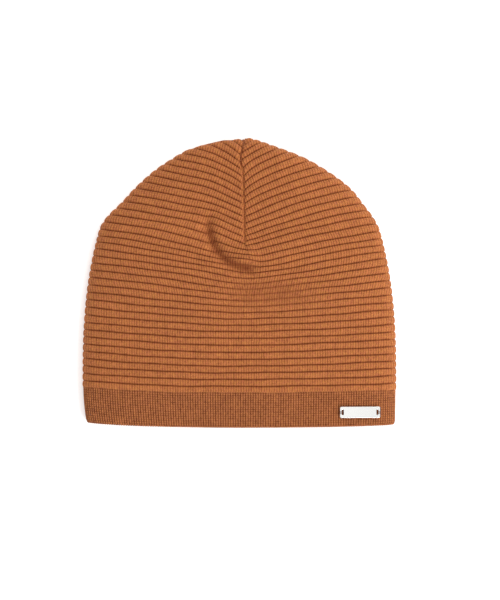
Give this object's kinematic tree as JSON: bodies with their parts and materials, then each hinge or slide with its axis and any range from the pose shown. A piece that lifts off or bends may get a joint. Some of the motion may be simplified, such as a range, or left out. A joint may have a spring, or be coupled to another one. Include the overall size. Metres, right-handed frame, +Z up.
{
  "type": "knitted beanie",
  "caption": "Ribbed knit beanie lying flat, with a folded hem band, darted crown and a small sewn metal plate.",
  "frame": {"origin": "on the table under the centre of the hat's bounding box, as it lies flat on its back", "axes": "+Z up out of the hat's front face, +Y from the hem towards the crown tip, +X towards the side with the metal plate"},
  "size_m": [0.2348, 0.217, 0.0261],
  "materials": {
    "knit": "matt ribbed knit",
    "band": "matt fine rib knit",
    "yarn": "matt spun yarn",
    "thread": "twisted sewing thread",
    "metal": "polished plate",
    "satin": "woven satin ribbon"
  },
  "bodies": {
    "back_half": {"knit_body_back": "knit", "hem_band_back": "band", "back_dart_seam": "yarn", "left_dart_seam": "yarn", "right_dart_seam": "yarn", "back_seam": "yarn", "hem_linking_back": "yarn", "crown_tack": "yarn", "care_label_stitching": "thread"},
    "front_half": {"knit_body_front": "knit", "hem_band_front": "band", "front_dart_seam": "yarn", "hem_linking_front": "yarn", "name_plate": "metal", "plate_thread_left": "thread", "plate_thread_right": "thread"},
    "care_label": {"care_label": "satin"}
  },
  "joints": [
    {"name": "mouth_open", "type": "hinge", "parent": "back_half", "child": "front_half", "pos_m": [0, 0.1085, 0.0055], "axis": [-1, 0, 0], "range_deg": [0, 12]},
    {"name": "care_label_swing", "type": "hinge", "parent": "back_half", "child": "care_label", "pos_m": [-0.055, -0.0793, 0.004], "axis": [1, 0, 0], "range_deg": [0, 14]}
  ]
}
